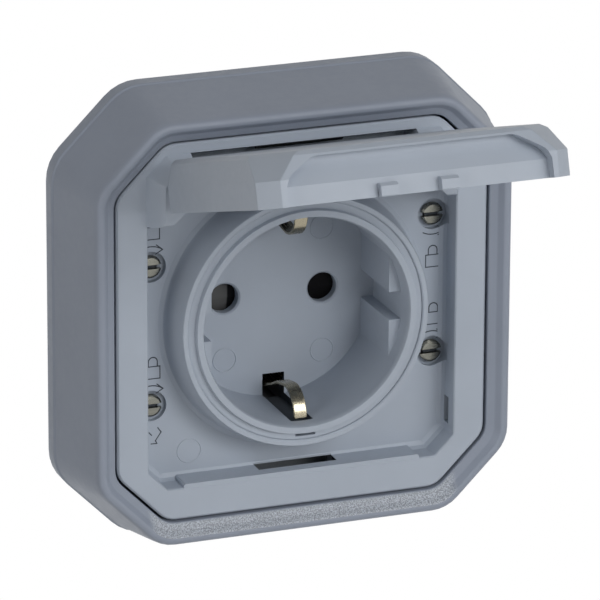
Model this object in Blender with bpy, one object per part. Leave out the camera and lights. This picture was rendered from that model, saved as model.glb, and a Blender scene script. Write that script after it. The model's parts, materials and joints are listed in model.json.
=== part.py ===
"""Flush weatherproof socket outlet with a hinged lid.

Frame: origin at the centre of the wall plane, +Y into the wall, +Z up, +X to the right.
Every length below is in millimetres and is turned into metres when a mesh is made.
"""
import bpy
import bmesh
from math import sin, cos, tan, pi, radians, sqrt, atan2

MM = 0.001

# Shared clearances
GAP = 0.3
RUN_GAP = 0.4

# Well, cup and collar: the other pieces are laid out from the well outwards
WELL_RADIUS = 19.5
WELL_DEPTH = 17.5
CUP_RISE = 2.3
CUP_RIM_WIDTH = 1.6
CUP_WALL = 2.6
CUP_RIM_RADIUS = WELL_RADIUS + CUP_RIM_WIDTH
CUP_RADIUS = WELL_RADIUS + CUP_WALL
CUP_FLOOR = 2.0
RIM_GROOVE = 1.0
CLIP_SLOT_HALF = 1.9
CLIP_SLOT_IN = CUP_RIM_RADIUS + 0.15
CLIP_SLOT_OUT = CLIP_SLOT_IN + 0.5
CLIP_SLOT_DEPTH = 3.0
COLLAR_RISE = 1.7
COLLAR_WALL = 1.25
COLLAR_DRAFT = 0.8
COLLAR_FILLET = 1.2
COLLAR_RADIUS = CUP_RADIUS + GAP + COLLAR_WALL
SHOULDER_WIDTH = 2.5
SHOULDER_RADIUS = CUP_RADIUS + SHOULDER_WIDTH
SHOULDER_THICK = 1.6
GUIDE_INSET = 2.5
GUIDE_X = WELL_RADIUS - GUIDE_INSET
GUIDE_SETBACK = 3.6
GUIDE_GROOVE = 5.3
PIN_PITCH = 19.0
PIN_HOLE = 5.6
EARTH_WIDTH = 3.6
EARTH_SETBACK = 4.2
EARTH_CHANNEL_IN = WELL_RADIUS - EARTH_SETBACK
EARTH_CHANNEL_OUT = WELL_RADIUS + 1.2
EARTH_CHANNEL_SETBACK = 2.8
EARTH_BEND = 4.8
EARTH_TIP = WELL_RADIUS - 0.1

# Tray and panel round the collar
TRAY_MARGIN = 5.75
HINGE_MARGIN = 4.35
HINGE_HEADROOM = 5.2
RIM_WIDTH = 5.9
HINGE_Z = COLLAR_RADIUS + HINGE_MARGIN
RECESS_HALF = COLLAR_RADIUS + TRAY_MARGIN
RECESS_TOP = HINGE_Z + HINGE_HEADROOM
RECESS_BOTTOM = RECESS_HALF
PANEL_HALF = RECESS_HALF + RIM_WIDTH

# Outer frame
PANEL_GAP = 0.45
CORNER_LEG = 9.3
CORNER_RADIUS = 4.3
PROJECTION = 17.5
CREST_RISE = 2.0
CREST_OUT = 3.7
REAR_OUT = 7.0
FRAME_WALL = 2.0
FRAME_STEP = 0.3
FRAME_STEP_Y = 3.4
SKIRT_WALL = 1.35
LEDGE_IN = 2.3
LEDGE_THICK = 2.0
FRAME_RIBS = 4
RIB_THICK = 1.2

# Support frame on the wall
SUPPORT_FRONT = 5.0
SUPPORT_PLATE = 2.0
SUPPORT_WALL = 1.8

# Panel
PLATE_THICK = 2.2
PANEL_WALL = 1.7
SEAL_THICK = 1.0
RECESS_LEG = 3.6
RECESS_DEPTH = 5.5
RECESS_WALL = 1.7
FLOOR_THICK = 2.0
FLOOR_FILLET = 1.2
LIP_HALF = RECESS_HALF - 6.7
LIP_RISE = 0.7
LATCH_SLOT_HALF = 7.5
LATCH_SLOT_FRONT = 2.4
LATCH_SLOT_DEPTH = 3.0
SIDE_SLOT_TOP = -19.5
SIDE_SLOT_BOTTOM = -24.5
SIDE_SLOT_DEPTH = 2.4

# Lid, in its closed place
OPEN_ANGLE = 107.6
LID_SIDE_GAP = 1.0
LID_END_GAP = 0.9
LID_HALF = RECESS_HALF - LID_SIDE_GAP
LID_REACH = HINGE_Z + RECESS_BOTTOM - LIP_RISE - LID_END_GAP
LID_LEG = 3.3
LID_RIM = 4.9
LID_WALL_RISE = 4.6
LID_PROUD = 4.3
LID_SKIN = 1.5
LID_WALL = 1.6
LID_EDGE_ROUND = 0.7
LID_SIDE_INSET = 1.9
LID_END_INSET = 2.9
LID_TOP_LEG = 6.2
SHOULDER_REACH = 8.1
SHOULDER_NEAR = 5.0
SHOULDER_TURN = LID_HALF - 2.0
BLOCK_WIDTH = 8.4
TONGUE_HALF = RECESS_HALF - BLOCK_WIDTH
BARREL_RADIUS = 4.3
BARREL_RELIEF = 0.35
SCOOP_HALF_RIM = LID_HALF - 4.4
SCOOP_HALF_TOP = SCOOP_HALF_RIM - 5.2
SCOOP_FROM = 3.3
SCOOP_TO = 7.8
SCOOP_DEPTH = 2.3
TAB_PITCH = 11.0
TAB_WIDTH = 3.1
TAB_HEIGHT = 1.6
TAB_PROUD = 0.45

# Hinge blocks and pins
BLOCK_ROUND = 7.4
BLOCK_BEVEL = 1.6
BLOCK_CUT_OUT = RECESS_HALF - 2.4
BLOCK_CUT_LOW = 7.3
BLOCK_CUT_HIGH = 2.1
PIN_RADIUS = 1.2
PIN_IN_BLOCK = 5.8
PIN_IN_LID = 5.5
NOTCH_HALF = 9.0
NOTCH_RISE = 0.8
LEAF_HALF = NOTCH_HALF - 0.8
LEAF_THICK = 0.35

# Quarter-turn screws: distance from the middle, and height on the left side
LOCK_X = RECESS_HALF - 2.4
LOCK_HIGH = 15.1
LOCK_LOW = 11.1
LOCK_HEAD_RADIUS = 2.1
LOCK_HEAD_THICK = 0.9
LOCK_SEAT_RADIUS = 2.9
LOCK_SEAT_DEPTH = 1.1
LOCK_SHAFT_RADIUS = 1.3
LOCK_BOSS_LENGTH = 2.4
LOCK_WING_LENGTH = 6.4
LOCK_WING_WIDTH = 2.0
LOCK_WING_THICK = 1.5
LOCK_WASHER_THICK = 0.6
SLOT_WIDTH = 0.7
SLOT_DEPTH = 0.5

# Fixing screws
FIX_PITCH = 60.0
FIX_RADIUS = 1.5
FIX_HEAD_RADIUS = 2.7
FIX_HEAD_THICK = 1.5
FIX_LENGTH = 23.0
FIX_SLOT_LENGTH = 6.5

# Mechanism behind the wall plane
BASE_WALL = 1.7
BASE_DEPTH = 16.0
PARTITION_X = 3.6
PARTITION_THICK = 1.4
COVER_THICK = 2.0
SHUTTER_HALF = 13.0
SHUTTER_HEIGHT = 6.6
SHUTTER_THICK = 1.4
SHUTTER_TRAVEL = 6.6
RAIL_WIDTH = 1.3
SPRING_RADIUS = 0.85
SPRING_WIRE = 0.16
SPRING_TURNS = 8
SPRING_STOP_Z = 14.8
SPRING_STOP_THICK = 1.2
CONTACT_INNER = 2.35
CONTACT_OUTER = 3.0
TERMINAL_ROOM = 4.2
TERMINAL_Z = 9.5
TERMINAL_SIZE = 6.0
TERMINAL_SCREW_RADIUS = 1.3
TERMINAL_HEAD_RADIUS = 2.2
WIRE_HOLE_RADIUS = 1.3
STRAP_THICK = 0.6
LONG_SCREW_X = EARTH_TIP
LONG_SCREW_RADIUS = 0.9
LONG_BOSS_RADIUS = 2.1

# Derived planes, all along Y
FRONT = -PROJECTION
RECESS_FLOOR = FRONT + RECESS_DEPTH
FLOOR_BACK = RECESS_FLOOR + FLOOR_THICK
PLATE_FRONT = -SUPPORT_FRONT
PLATE_BACK = PLATE_FRONT + SUPPORT_PLATE
LEDGE_BACK = PLATE_FRONT - GAP
LEDGE_FRONT = LEDGE_BACK - LEDGE_THICK
SEAL_BACK = LEDGE_FRONT - GAP
SEAL_FRONT = SEAL_BACK - SEAL_THICK
PANEL_BACK = SEAL_FRONT - GAP
CUP_FRONT = FRONT - CUP_RISE
WELL_FLOOR = CUP_FRONT + WELL_DEPTH
CUP_BACK = WELL_FLOOR + CUP_FLOOR
HINGE_Y = FRONT
LOCK_PLACES = {
    "lock_screw_upper_left": (-LOCK_X, LOCK_LOW),
    "lock_screw_lower_left": (-LOCK_X, -LOCK_HIGH),
    "lock_screw_upper_right": (LOCK_X, LOCK_HIGH),
    "lock_screw_lower_right": (LOCK_X, -LOCK_LOW),
}


def clear_scene():
    for old in list(bpy.data.objects):
        bpy.data.objects.remove(old, do_unlink=True)


def material(name, colour, roughness, metallic=0.0):
    made = bpy.data.materials.new(name)
    made.use_nodes = True
    shader = made.node_tree.nodes["Principled BSDF"]
    shader.inputs["Base Color"].default_value = (*colour, 1.0)
    shader.inputs["Roughness"].default_value = roughness
    shader.inputs["Metallic"].default_value = metallic
    return made


def finish(obj, finish_material, angle=32.0):
    """Give a piece its material and its shading."""
    obj.data.materials.clear()
    obj.data.materials.append(finish_material)
    obj.data.shade_smooth()
    obj.data.set_sharp_from_angle(angle=radians(angle))
    return obj


def make(name, points, faces):
    """A mesh object from points in millimetres, its faces turned outwards."""
    mesh = bpy.data.meshes.new(name)
    shape = bmesh.new()
    corners = [shape.verts.new((x * MM, y * MM, z * MM)) for x, y, z in points]
    for face in faces:
        shape.faces.new([corners[i] for i in face])
    bmesh.ops.recalc_face_normals(shape, faces=shape.faces)
    shape.to_mesh(mesh)
    shape.free()
    obj = bpy.data.objects.new(name, mesh)
    bpy.context.collection.objects.link(obj)
    return obj


def loft(name, rings, closed=False):
    """Skin rings of equal point count; closed joins the last ring to the first."""
    count = len(rings[0])
    points = [point for ring in rings for point in ring]
    faces = []
    spans = len(rings) if closed else len(rings) - 1
    for i in range(spans):
        a = i * count
        b = ((i + 1) % len(rings)) * count
        for j in range(count):
            k = (j + 1) % count
            faces.append((a + j, a + k, b + k, b + j))
    if not closed:
        faces.append(tuple(range(count)))
        last = (len(rings) - 1) * count
        faces.append(tuple(last + j for j in range(count)))
    return make(name, points, faces)


def at_y(outline, y):
    return [(x, y, z) for x, z in outline]


def prism(name, outline, y0, y1):
    """An X-Z outline run from y0 to y1."""
    return loft(name, [at_y(outline, y0), at_y(outline, y1)])


def prism_x(name, outline, x0, x1):
    """A Y-Z outline run from x0 to x1."""
    return loft(name, [[(x, y, z) for y, z in outline] for x in (x0, x1)])


def block(name, x0, x1, y0, y1, z0, z1):
    return prism(name, [(x0, z0), (x1, z0), (x1, z1), (x0, z1)], y0, y1)


def circle(radius, centre=(0.0, 0.0), steps=64, turn=0.0):
    angles = [turn + 2 * pi * i / steps for i in range(steps)]
    return [(centre[0] + radius * cos(a), centre[1] + radius * sin(a)) for a in angles]


def turned(name, profile, centre=(0.0, 0.0), steps=64, closed=False):
    """A profile of (radius, y) turned about an axis along Y."""
    return loft(name, [at_y(circle(radius, centre, steps), y) for radius, y in profile], closed)


def rod(name, radius, y0, y1, centre=(0.0, 0.0), steps=32):
    return turned(name, [(radius, y0), (radius, y1)], centre, steps)


def rod_x(name, radius, x0, x1, y, z, steps=32):
    ring = circle(radius, (y, z), steps)
    return prism_x(name, ring, x0, x1)


def rounded(corners, radius, steps=4):
    """Round each corner of a closed outline with an arc tangent to its two sides."""
    outline = []
    count = len(corners)
    for i, (px, pz) in enumerate(corners):
        ax, az = corners[i - 1]
        bx, bz = corners[(i + 1) % count]
        la = sqrt((ax - px) ** 2 + (az - pz) ** 2)
        lb = sqrt((bx - px) ** 2 + (bz - pz) ** 2)
        ua = ((ax - px) / la, (az - pz) / la)
        ub = ((bx - px) / lb, (bz - pz) / lb)
        half = 0.5 * atan2(abs(ua[0] * ub[1] - ua[1] * ub[0]), ua[0] * ub[0] + ua[1] * ub[1])
        reach = min(radius / tan(half), 0.45 * la, 0.45 * lb)
        true_radius = reach * tan(half)
        mid = (ua[0] + ub[0], ua[1] + ub[1])
        size = sqrt(mid[0] ** 2 + mid[1] ** 2)
        out = true_radius / sin(half)
        centre = (px + mid[0] / size * out, pz + mid[1] / size * out)
        start = atan2(pz + ua[1] * reach - centre[1], px + ua[0] * reach - centre[0])
        end = atan2(pz + ub[1] * reach - centre[1], px + ub[0] * reach - centre[0])
        sweep = (end - start + pi) % (2 * pi) - pi
        for k in range(steps + 1):
            a = start + sweep * k / steps
            outline.append((centre[0] + true_radius * cos(a), centre[1] + true_radius * sin(a)))
    return outline


def chamfered(right, bottom, top, leg_bottom, leg_top):
    """Corners of a box outline about X = 0 with its four corners cut off."""
    return [
        (right, bottom + leg_bottom),
        (right, top - leg_top),
        (right - leg_top, top),
        (-right + leg_top, top),
        (-right, top - leg_top),
        (-right, bottom + leg_bottom),
        (-right + leg_bottom, bottom),
        (right - leg_bottom, bottom),
    ]


def frame_outline(half):
    """The octagon of the panel, moved outwards in parallel to another half width."""
    out = half - PANEL_HALF
    leg = CORNER_LEG + out * (2.0 - sqrt(2.0))
    return rounded(chamfered(half, -half, half, leg, leg), CORNER_RADIUS + 0.6 * out)


def recess_outline(grow=0.0):
    leg = RECESS_LEG + grow * (2.0 - sqrt(2.0))
    corners = chamfered(RECESS_HALF + grow, -RECESS_BOTTOM - grow, RECESS_TOP + grow, leg, leg)
    return rounded(corners, 0.8, 2)


def apply_modifiers(obj):
    graph = bpy.context.evaluated_depsgraph_get()
    baked = bpy.data.meshes.new_from_object(obj.evaluated_get(graph))
    old = obj.data
    obj.modifiers.clear()
    obj.data = baked
    bpy.data.meshes.remove(old)


def combine(obj, tools, operation):
    """Join, cut or intersect a piece with helper shapes, which are used up."""
    for tool in tools:
        step = obj.modifiers.new(operation.lower(), "BOOLEAN")
        step.operation = operation
        step.solver = "EXACT"
        step.object = tool
        tool.hide_render = True
        tool.display_type = "WIRE"
    apply_modifiers(obj)
    for tool in tools:
        bpy.data.objects.remove(tool, do_unlink=True)
    return obj


def join(obj, *tools):
    return combine(obj, tools, "UNION")


def cut(obj, *tools):
    return combine(obj, tools, "DIFFERENCE")


def keep(obj, *tools):
    return combine(obj, tools, "INTERSECT")


def hull(name, points):
    """The convex solid round a set of points."""
    mesh = bpy.data.meshes.new(name)
    shape = bmesh.new()
    for x, y, z in points:
        shape.verts.new((x * MM, y * MM, z * MM))
    made = bmesh.ops.convex_hull(shape, input=shape.verts)
    loose = [v for v in made["geom_interior"] if isinstance(v, bmesh.types.BMVert)]
    bmesh.ops.delete(shape, geom=loose, context="VERTS")
    bmesh.ops.recalc_face_normals(shape, faces=shape.faces)
    shape.to_mesh(mesh)
    shape.free()
    obj = bpy.data.objects.new(name, mesh)
    bpy.context.collection.objects.link(obj)
    return obj


def set_origin(obj, x, y, z):
    """Move a piece's origin without moving the piece."""
    for vertex in obj.data.vertices:
        vertex.co.x -= x * MM
        vertex.co.y -= y * MM
        vertex.co.z -= z * MM
    obj.location = (x * MM, y * MM, z * MM)


def build_frame(plastic):
    """The dished outer frame: flared flank, rounded crest, sloping inner bevel and skirt."""
    inner = PANEL_HALF + PANEL_GAP
    crest = PANEL_HALF + CREST_OUT + 0.2
    rear = PANEL_HALF + REAR_OUT + 0.2
    top = FRONT - CREST_RISE
    skirt = inner + SKIRT_WALL
    flare = (rear - FRAME_STEP - crest - 0.5) / (PROJECTION + 0.5 - FRAME_STEP_Y)

    def flank(y):
        return crest + 0.5 + flare * (y - FRONT + 0.5)

    channel = FRONT + 3.5
    section = [
        (rear, 0.0),
        (rear, -FRAME_STEP_Y + 0.3),
        (rear - FRAME_STEP, -FRAME_STEP_Y),
        (flank(FRONT - 0.2), FRONT - 0.2),
        (crest + 0.35, top + 0.85),
        (crest, top + 0.25),
        (crest - 0.6, top),
        (crest - 1.2, top + 0.12),
        (inner + 1.4, FRONT - 0.8),
        (inner, FRONT - 0.1),
        (inner, LEDGE_FRONT),
        (PANEL_HALF - LEDGE_IN + GAP, LEDGE_FRONT),
        (PANEL_HALF - LEDGE_IN + GAP, LEDGE_BACK),
        (skirt, LEDGE_BACK),
        (skirt, channel),
        (flank(channel) - FRAME_WALL, channel),
        (rear - FRAME_WALL, -FRAME_STEP_Y),
        (rear - FRAME_WALL, 0.0),
    ]
    frame = loft("frame_bezel", [at_y(frame_outline(half), y) for half, y in section], closed=True)
    ribs = []
    for i in range(-FRAME_RIBS // 2, FRAME_RIBS // 2 + 1):
        x = i * (2 * PANEL_HALF - 2 * CORNER_LEG - 6.0) / FRAME_RIBS
        left, right = x - RIB_THICK / 2, x + RIB_THICK / 2
        for side in (-1, 1):
            near = side * (skirt - 0.4)
            far = side * (flank(channel) - FRAME_WALL + 0.5)
            low, high = min(near, far), max(near, far)
            ribs.append(block("rib", left, right, channel - 0.5, channel + 4.0, low, high))
            ribs.append(block("rib", low, high, channel - 0.5, channel + 4.0, left, right))
    join(frame, *ribs)
    return finish(frame, plastic, 24.0)


def build_wall_seal(rubber):
    """A flat ring between the frame's rim and the support frame, against the wall."""
    inner = PANEL_HALF + PANEL_GAP + SKIRT_WALL + 0.9
    outer = PANEL_HALF + REAR_OUT + 0.2 - FRAME_WALL - GAP
    thick = FRAME_STEP_Y - 1.2
    section = [(inner, -GAP - thick), (outer, -GAP - thick), (outer, -GAP), (inner, -GAP)]
    seal = loft("wall_seal", [at_y(frame_outline(half), y) for half, y in section], closed=True)
    return finish(seal, rubber)


def lock_axes():
    return LOCK_PLACES.values()


def build_support(plastic):
    """A moulded plate on the wall, with a skirt, lock slots and fixing slots."""
    half = PANEL_HALF + PANEL_GAP + SKIRT_WALL + 0.2
    plate = prism("support_frame", frame_outline(half), PLATE_FRONT, -GAP)
    cut(plate, prism("hollow", frame_outline(half - SUPPORT_WALL), PLATE_BACK, 1.0))
    tools = [rod("opening", CUP_RADIUS + RUN_GAP, PLATE_FRONT - 1.0, 1.0, steps=64)]
    for x, z in lock_axes():
        tools.append(rod("hole", LOCK_SHAFT_RADIUS + RUN_GAP, PLATE_FRONT - 1.0, 1.0, (x, z), 16))
        wide = LOCK_WING_WIDTH / 2 + RUN_GAP
        long = LOCK_WING_LENGTH / 2 + RUN_GAP
        tools.append(block("slot", x - wide, x + wide, PLATE_FRONT - 1.0, 1.0, z - long, z + long))
    for side in (-1, 1):
        x = side * FIX_PITCH / 2
        wide = FIX_SLOT_LENGTH / 2
        high = FIX_RADIUS + 0.25
        corners = [(x - wide, -high), (x + wide, -high), (x + wide, high), (x - wide, high)]
        tools.append(prism("slot", rounded(corners, high * 0.9), PLATE_FRONT - 1.0, 1.0))
    cut(plate, *tools)
    return finish(plate, plastic)


def build_panel_seal(rubber):
    inner = PANEL_HALF - LEDGE_IN + 2 * GAP
    outer = PANEL_HALF + PANEL_GAP - GAP
    section = [(inner, SEAL_FRONT), (outer, SEAL_FRONT), (outer, SEAL_BACK), (inner, SEAL_BACK)]
    seal = loft("panel_seal", [at_y(frame_outline(half), y) for half, y in section], closed=True)
    return finish(seal, rubber)


def hinge_block(side):
    """A corner block that carries a hinge pin; its underside is round about the hinge axis."""
    near = side * (TONGUE_HALF + RUN_GAP)
    far = side * (RECESS_HALF + 0.6)
    front = FRONT - LID_PROUD + 0.3
    profile = []
    start = atan2(-sqrt(BLOCK_ROUND ** 2 - (RECESS_DEPTH + 0.4) ** 2), RECESS_DEPTH + 0.4)
    end = atan2(-sqrt(BLOCK_ROUND ** 2 - (HINGE_Y - front) ** 2), front - HINGE_Y)
    for i in range(9):
        a = start + (end - start) * i / 8
        profile.append((HINGE_Y + BLOCK_ROUND * cos(a), HINGE_Z + BLOCK_ROUND * sin(a)))
    crown = RECESS_TOP - HINGE_Z
    profile += [
        (front, HINGE_Z + 1.2),
        (front + 0.7, HINGE_Z + 2.9),
        (front + 2.0, HINGE_Z + crown - 0.9),
        (FRONT - 0.3, HINGE_Z + crown + 0.1),
        (FRONT + 0.6, HINGE_Z + crown + 0.5),
        (RECESS_FLOOR + 0.4, HINGE_Z + crown + 0.5),
    ]
    lump = prism_x("hinge_block", profile, min(near, far), max(near, far))
    rings = [
        at_y(recess_outline(0.5), RECESS_FLOOR + 1.0),
        at_y(recess_outline(0.5), FRONT + 0.5),
        at_y(recess_outline(0.25), FRONT - 0.1),
        at_y(recess_outline(-0.1), FRONT - 0.7),
        at_y(recess_outline(-BLOCK_BEVEL + 0.5), front + 0.9),
        at_y(recess_outline(-BLOCK_BEVEL - 0.4), front - 0.1),
    ]
    keep(lump, loft("form", rings))
    slope = (BLOCK_CUT_LOW - BLOCK_CUT_HIGH) / (BLOCK_CUT_OUT - abs(near))
    low = HINGE_Z - BLOCK_CUT_LOW - slope
    corner = [
        (near - side, HINGE_Z - BLOCK_CUT_HIGH + slope),
        (side * (BLOCK_CUT_OUT + 1.0), low),
        (near - side, low),
    ]
    return cut(lump, prism("corner", corner, front - 1.0, RECESS_FLOOR + 1.0))


def build_panel(plastic):
    """Front plate, skirt, sunk tray, collar and hinge blocks, moulded in one."""
    rings = [
        at_y(frame_outline(PANEL_HALF - 0.35), FRONT),
        at_y(frame_outline(PANEL_HALF), FRONT + 0.35),
        at_y(frame_outline(PANEL_HALF), PANEL_BACK),
    ]
    panel = loft("panel", rings)
    cut(panel, prism("back", frame_outline(PANEL_HALF - PANEL_WALL), FRONT + PLATE_THICK, PANEL_BACK + 1.0))
    tub = prism("tub", recess_outline(RECESS_WALL), FRONT + 1.0, FLOOR_BACK)
    keep(tub, prism("limit", frame_outline(PANEL_HALF - PANEL_WALL / 2), FRONT - 1.0, FLOOR_BACK + 1.0))
    join(panel, tub)
    opening = [
        at_y(recess_outline(0.25), FRONT - 1.0),
        at_y(recess_outline(0.25), FRONT - 0.05),
        at_y(recess_outline(), FRONT + 0.25),
        at_y(recess_outline(), RECESS_FLOOR - FLOOR_FILLET),
        at_y(recess_outline(-0.35 * FLOOR_FILLET), RECESS_FLOOR - 0.35 * FLOOR_FILLET),
        at_y(recess_outline(-FLOOR_FILLET), RECESS_FLOOR),
    ]
    cut(panel, loft("opening", opening))

    lip_top = -RECESS_BOTTOM + LIP_RISE
    lip = [
        (-LIP_HALF, -RECESS_BOTTOM - 0.8),
        (LIP_HALF, -RECESS_BOTTOM - 0.8),
        (LIP_HALF, lip_top - 0.3),
        (LIP_HALF - 0.3, lip_top),
        (-LIP_HALF + 0.3, lip_top),
        (-LIP_HALF, lip_top - 0.3),
    ]
    added = [prism("lip", lip, FRONT + 0.05, RECESS_FLOOR + 0.4)]

    inner = CUP_RADIUS + GAP
    outer = COLLAR_RADIUS
    collar_front = FRONT - COLLAR_RISE
    foot = outer + COLLAR_DRAFT
    collar = [
        (inner, FLOOR_BACK + 0.5),
        (inner, collar_front + 0.2),
        (inner + 0.25, collar_front),
        (outer - 0.45, collar_front),
        (outer, collar_front + 0.45),
        (foot, RECESS_FLOOR - COLLAR_FILLET),
        (foot + 0.35 * COLLAR_FILLET, RECESS_FLOOR - 0.35 * COLLAR_FILLET),
        (foot + COLLAR_FILLET, RECESS_FLOOR),
        (foot + COLLAR_FILLET + 0.3, RECESS_FLOOR + 0.5),
        (foot, FLOOR_BACK + 0.5),
    ]
    ring = turned("collar", collar, closed=True, steps=72)
    for x, z in lock_axes():
        radius = LOCK_SHAFT_RADIUS + RUN_GAP + 1.3
        added.append(rod("boss", radius, RECESS_FLOOR + 0.5, FLOOR_BACK + LOCK_BOSS_LENGTH, (x, z), 20))
    added += [hinge_block(-1), hinge_block(1)]
    join(panel, *added)
    cut(panel, rod("way", (inner + outer) / 2, RECESS_FLOOR - 0.6, FLOOR_BACK + 1.0, steps=72))
    join(panel, ring)

    tools = []
    for x, z in lock_axes():
        seat = [
            (LOCK_SEAT_RADIUS, RECESS_FLOOR - 2.0),
            (LOCK_SEAT_RADIUS, RECESS_FLOOR + LOCK_SEAT_DEPTH),
            (LOCK_SHAFT_RADIUS + GAP, RECESS_FLOOR + LOCK_SEAT_DEPTH),
            (LOCK_SHAFT_RADIUS + GAP, FLOOR_BACK + LOCK_BOSS_LENGTH + 1.0),
        ]
        tools.append(turned("seat", seat, (x, z), 24))
    slot_front = FRONT + LATCH_SLOT_FRONT
    tools.append(block("latch_slot", -LATCH_SLOT_HALF, LATCH_SLOT_HALF, slot_front, RECESS_FLOOR - 0.1,
                       lip_top - LATCH_SLOT_DEPTH, lip_top + 1.0))
    for side in (-1, 1):
        low, high = sorted((side * (RECESS_HALF - 1.0), side * (RECESS_HALF + SIDE_SLOT_DEPTH)))
        tools.append(block("side_slot", low, high, FRONT + 2.6, FRONT + 4.5,
                           SIDE_SLOT_BOTTOM, SIDE_SLOT_TOP))
        low, high = sorted((side * (TONGUE_HALF - 1.0), side * (TONGUE_HALF + RUN_GAP + PIN_IN_BLOCK + GAP)))
        tools.append(rod_x("pin_bore", PIN_RADIUS + GAP, low, high, HINGE_Y, HINGE_Z, 24))
    tools.append(block("notch", -NOTCH_HALF, NOTCH_HALF, FRONT + 0.35, RECESS_FLOOR - 0.2,
                       RECESS_TOP - 1.0, RECESS_TOP + NOTCH_RISE))
    cut(panel, *tools)
    return finish(panel, plastic, 28.0)


def lid_outline(half, reach, leg, top):
    corners = chamfered(half, -reach, top, leg, 0.2)
    return rounded(corners, 0.6, 2)


def barrel_section():
    """Round the hinge axis: full radius outside and on top, reduced where it passes the collar."""
    section = []
    for i in range(40):
        turn = 2 * pi * (i + 0.5) / 40
        radius = BARREL_RADIUS if radians(70.0) < turn < radians(205.0) else BARREL_RADIUS - BARREL_RELIEF
        section.append((radius * cos(turn), radius * sin(turn)))
    return section


def build_lid(plastic):
    """The lid in its closed place about the hinge axis; Z = 0 and Y = 0 are on the axis."""
    over = 8.0
    rim = LID_RIM
    crease = LID_RIM - LID_WALL_RISE
    outer = -LID_PROUD
    side = LID_SIDE_INSET
    end = LID_END_INSET
    share = 1.0 - LID_EDGE_ROUND / LID_WALL_RISE
    edge_y = outer + LID_EDGE_ROUND
    edge_side = (side - 0.7) * share
    edge_end = (end - 0.5) * share
    edge_leg = LID_LEG + (LID_TOP_LEG - LID_LEG) * share

    rings = [
        at_y(lid_outline(LID_HALF, LID_REACH, LID_LEG, over), rim),
        at_y(lid_outline(LID_HALF, LID_REACH, LID_LEG, over), crease),
        at_y(lid_outline(LID_HALF - edge_side, LID_REACH - edge_end, edge_leg, over), edge_y),
        at_y(lid_outline(LID_HALF - side, LID_REACH - end, LID_TOP_LEG, over), outer),
    ]
    lid = loft("lid", rings)
    cut(lid, block("above_axis", -40.0, 40.0, -12.0, 12.0, -0.4, over + 5.0))
    shoulders = []
    for sign in (-1, 1):
        shoulders.append([
            (sign * TONGUE_HALF, over + 6.0),
            (sign * TONGUE_HALF, -SHOULDER_NEAR),
            (sign * SHOULDER_TURN, -SHOULDER_REACH),
            (sign * 40.0, -SHOULDER_REACH),
            (sign * 40.0, over + 6.0),
        ])
    cut(lid, *[prism("shoulder", outline, -12.0, 12.0) for outline in shoulders])

    wall = LID_WALL
    ceiling = outer + LID_SKIN
    inner_leg = LID_LEG - 0.6 * wall * 0.5
    depth_share = (LID_WALL_RISE + LID_PROUD - LID_SKIN - crease) / (LID_WALL_RISE + LID_PROUD)
    cavity = [
        at_y(lid_outline(LID_HALF - wall, LID_REACH - wall, inner_leg, over), rim + 1.0),
        at_y(lid_outline(LID_HALF - wall, LID_REACH - wall, inner_leg, over), LID_RIM - SCOOP_FROM),
        at_y(lid_outline(LID_HALF - wall - side * depth_share, LID_REACH - wall - SCOOP_DEPTH,
                         LID_TOP_LEG - 1.0, over), ceiling),
    ]
    hollow = loft("hollow", cavity)
    for sign, outline in zip((-1, 1), shoulders):
        inside = [(x - sign * wall, z - wall) for x, z in outline]
        cut(hollow, prism("shoulder_wall", inside, -12.0, 12.0))
    cut(lid, hollow)
    join(lid, prism_x("barrel", barrel_section(), -TONGUE_HALF, TONGUE_HALF))

    scoop_y0 = LID_RIM - SCOOP_FROM
    scoop_y1 = LID_RIM - SCOOP_TO
    outside = -LID_REACH - 4.0
    corners = []
    for sign in (-1, 1):
        corners += [
            (sign * SCOOP_HALF_RIM, scoop_y0, -LID_REACH),
            (sign * SCOOP_HALF_RIM, scoop_y0 + 0.05, outside),
            (sign * SCOOP_HALF_TOP, scoop_y1, -LID_REACH + SCOOP_DEPTH),
            (sign * SCOOP_HALF_TOP, scoop_y1, outside),
            (sign * (SCOOP_HALF_RIM - 0.9), scoop_y0 - 1.9, -LID_REACH + SCOOP_DEPTH * 0.42),
            (sign * (SCOOP_HALF_RIM - 0.9), scoop_y0 - 1.9, outside),
        ]
    cut(lid, hull("scoop", corners))

    tabs = []
    for sign in (-1, 1):
        centre = sign * TAB_PITCH / 2
        profile = [
            (rim - 0.05, -LID_REACH + 0.6),
            (rim - 0.05, -LID_REACH - TAB_PROUD + 0.1),
            (rim - 0.3, -LID_REACH - TAB_PROUD),
            (rim - TAB_HEIGHT + 0.5, -LID_REACH - TAB_PROUD),
            (rim - TAB_HEIGHT, -LID_REACH + 0.1),
            (rim - TAB_HEIGHT, -LID_REACH + 0.6),
        ]
        tabs.append(prism_x("tab", profile, centre - TAB_WIDTH / 2, centre + TAB_WIDTH / 2))
    join(lid, *tabs)
    bores = []
    for sign in (-1, 1):
        near = sign * (TONGUE_HALF - PIN_IN_LID - GAP)
        far = sign * (TONGUE_HALF + 1.0)
        bores.append(rod_x("bore", PIN_RADIUS + GAP, min(near, far), max(near, far), 0.0, 0.0, 24))
    cut(lid, *bores)
    return finish(lid, plastic, 24.0)


def build_lid_gasket(rubber):
    """A flat ring under the lid's skin that meets the collar when the lid is shut."""
    ceiling = -LID_PROUD + LID_SKIN
    top = ceiling + GAP
    bottom = -COLLAR_RISE - 0.25
    inner = CUP_RADIUS + GAP - 0.1
    outer = COLLAR_RADIUS - 0.1
    profile = [(inner, top), (outer, top), (outer, bottom), (inner, bottom)]
    return finish(turned("lid_gasket", profile, (0.0, -HINGE_Z), 72, closed=True), rubber)


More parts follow.
